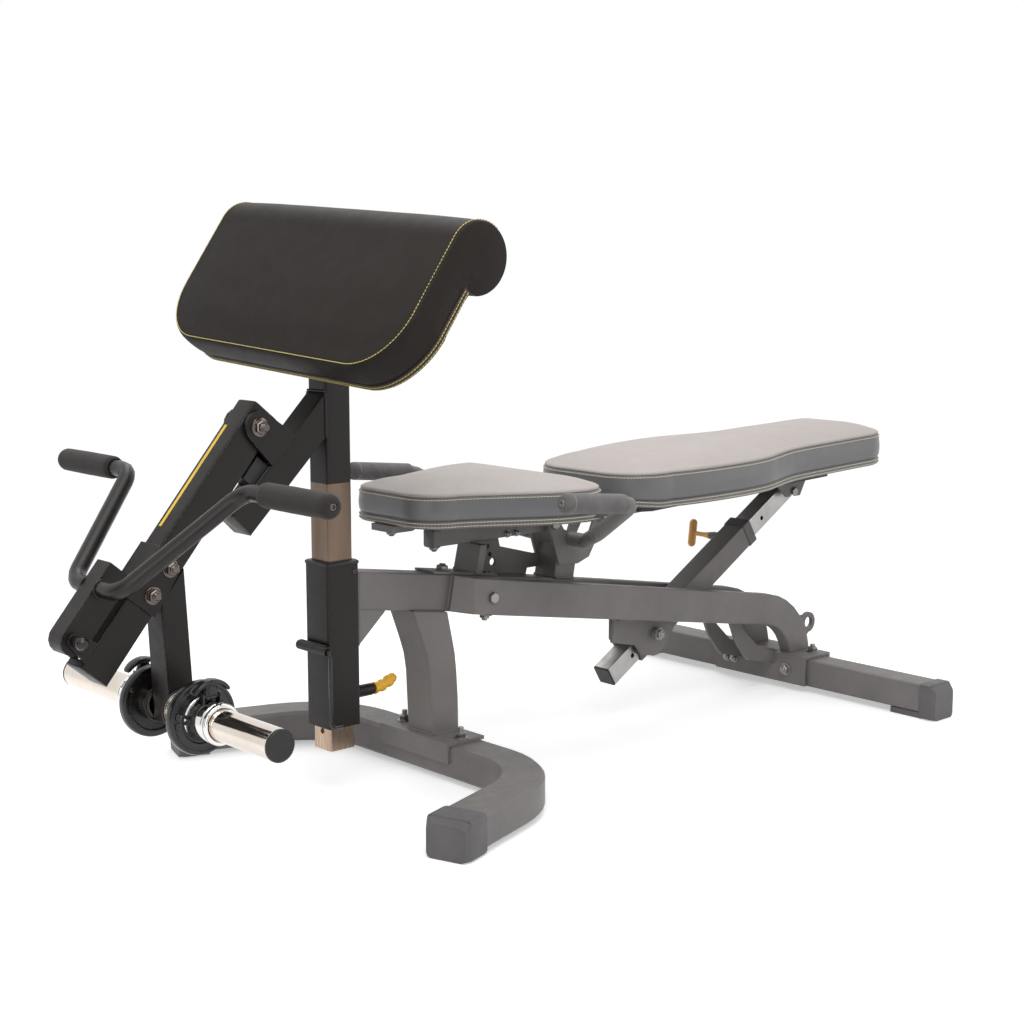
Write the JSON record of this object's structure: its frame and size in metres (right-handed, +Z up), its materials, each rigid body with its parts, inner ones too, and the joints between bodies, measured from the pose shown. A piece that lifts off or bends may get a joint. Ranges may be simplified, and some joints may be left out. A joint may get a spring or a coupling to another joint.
{
  "type": "preacher bench",
  "caption": "Adjustable bench with a sloped arm pad, a weight-loaded curl lever with turning hand grips, a tilting seat and an inclining back rest held by a telescoping strut.",
  "frame": {"origin": "floor level, at the middle of the bounding box in plan", "axes": "+Z up, +X from the arm pad towards the head end of the back rest, +Y to the far side of the picture"},
  "size_m": [1.9128, 0.8702, 1.0037],
  "materials": {
    "black_paint": "satin",
    "grey_paint": "satin",
    "plated_steel": "satin",
    "chrome": "polished",
    "bolt_steel": "satin",
    "black_vinyl": "grained",
    "grey_vinyl": "grained",
    "board": "matte",
    "plastic": "matte",
    "foam": "matte",
    "yellow_plastic": "gloss",
    "orange_plastic": "gloss"
  },
  "bodies": {
    "frame": {"front_base_bar": "grey_paint", "front_cap_near": "plastic", "front_cap_far": "plastic", "rear_base_bar": "grey_paint", "rear_cap_near": "plastic", "rear_cap_far": "plastic", "upright": "grey_paint", "front_beam": "grey_paint", "rail_near": "grey_paint", "rail_far": "grey_paint", "rail_bolt": "bolt_steel", "rear_saddle": "grey_paint", "strut_bracket": "grey_paint", "seat_bracket": "grey_paint", "rear_post": "grey_paint", "seat_pivot_bolt": "bolt_steel", "back_pivot_bolt": "bolt_steel", "side_grip_near": "foam", "side_grip_far": "foam", "mast_sleeve": "black_paint", "sleeve_liner": "plastic"},
    "mast": {"mast": "plated_steel", "brace": "black_paint", "arm_pivot_bolt": "bolt_steel", "stop_block": "plastic", "arm_pad": "black_vinyl", "pad_board": "board"},
    "lever": {"lever_arm": "black_paint", "leg_saddle": "black_paint", "weight_leg": "black_paint", "horn_near": "chrome", "horn_far": "chrome", "horn_cap_near": "plastic", "horn_cap_far": "plastic", "carrier_pin": "bolt_steel"},
    "carrier": {"handle_carrier": "black_paint", "handle_bar_near": "black_paint", "handle_bar_far": "black_paint", "handle_grip_near": "foam", "handle_grip_far": "foam"},
    "collar_near": {"collar_disc_near": "plastic", "collar_boss_near": "chrome"},
    "collar_far": {"collar_disc_far": "plastic", "collar_boss_far": "chrome"},
    "thumb_near": {"thumb_lever_near": "plastic"},
    "thumb_far": {"thumb_lever_far": "plastic"},
    "mast_pin": {"mast_pin": "yellow_plastic"},
    "latch": {"latch_rod": "black_paint"},
    "seat": {"seat_pad": "grey_vinyl", "seat_board": "board", "seat_tube": "grey_paint"},
    "seat_pin": {"seat_pin": "plastic"},
    "back": {"back_pad": "grey_vinyl", "back_board": "board", "back_frame": "grey_paint"},
    "strut_sleeve": {"strut_sleeve": "grey_paint", "strut_collar": "plastic"},
    "strut_inner": {"strut_inner": "chrome", "strut_top_bolt": "bolt_steel"},
    "strut_pin": {"strut_pin": "orange_plastic"}
  },
  "joints": [
    {"name": "post_height", "type": "slide", "parent": "frame", "child": "mast", "axis": [0, 0, 1], "range_m": [-0.068, 0.068]},
    {"name": "curl_arm", "type": "hinge", "parent": "mast", "child": "lever", "pos_m": [-0.6051, 0, 0.641], "axis": [0, 1, 0], "range_deg": [0, 100]},
    {"name": "handle_swing", "type": "hinge", "parent": "lever", "child": "carrier", "pos_m": [-0.9351, 0, 0.343], "axis": [0, -1, 0], "range_deg": [0, 90]},
    {"name": "collar_near_slide", "type": "slide", "parent": "lever", "child": "collar_near", "axis": [0, -1, 0], "range_m": [0, 0.14]},
    {"name": "collar_far_slide", "type": "slide", "parent": "lever", "child": "collar_far", "axis": [0, 1, 0], "range_m": [0, 0.175]},
    {"name": "thumb_near_turn", "type": "hinge", "parent": "collar_near", "child": "thumb_near", "pos_m": [-0.7631, -0.118, 0.249], "axis": [1, 0, 0], "range_deg": [0, 50]},
    {"name": "thumb_far_turn", "type": "hinge", "parent": "collar_far", "child": "thumb_far", "pos_m": [-0.7631, 0.0785, 0.249], "axis": [-1, 0, 0], "range_deg": [0, 50]},
    {"name": "mast_pin_pull", "type": "slide", "parent": "frame", "child": "mast_pin", "axis": [1, 0, 0], "range_m": [0, 0.012], "stiffness_N_per_m": 600},
    {"name": "latch_turn", "type": "hinge", "parent": "frame", "child": "latch", "pos_m": [-0.4856, 0, 0.259], "axis": [0, 1, 0], "range_deg": [-60, 120]},
    {"name": "seat_angle", "type": "hinge", "parent": "frame", "child": "seat", "pos_m": [0.0429, 0, 0.416], "axis": [0, 1, 0], "range_deg": [0, 15]},
    {"name": "seat_pin_pull", "type": "slide", "parent": "seat", "child": "seat_pin", "axis": [0, 1, 0], "range_m": [0, 0.012], "stiffness_N_per_m": 600},
    {"name": "back_incline", "type": "hinge", "parent": "frame", "child": "back", "pos_m": [0.1649, 0, 0.425], "axis": [0, -1, 0], "range_deg": [0, 75]},
    {"name": "strut_swing", "type": "hinge", "parent": "frame", "child": "strut_sleeve", "pos_m": [0.3149, 0, 0.17], "axis": [0, -1, 0], "range_deg": [0, 59.15]},
    {"name": "strut_slide", "type": "slide", "parent": "strut_sleeve", "child": "strut_inner", "axis": [0.8566, 0, 0.516], "range_m": [0, 0.31814]},
    {"name": "strut_pin_pull", "type": "slide", "parent": "strut_sleeve", "child": "strut_pin", "axis": [0, 1, 0], "range_m": [0, 0.012], "stiffness_N_per_m": 600}
  ],
  "couplings": [
    {"joint": "strut_swing", "follows": "back_incline", "ratio": 0.78603},
    {"joint": "strut_slide", "follows": "back_incline", "m_per_rad": 0.24266}
  ]
}
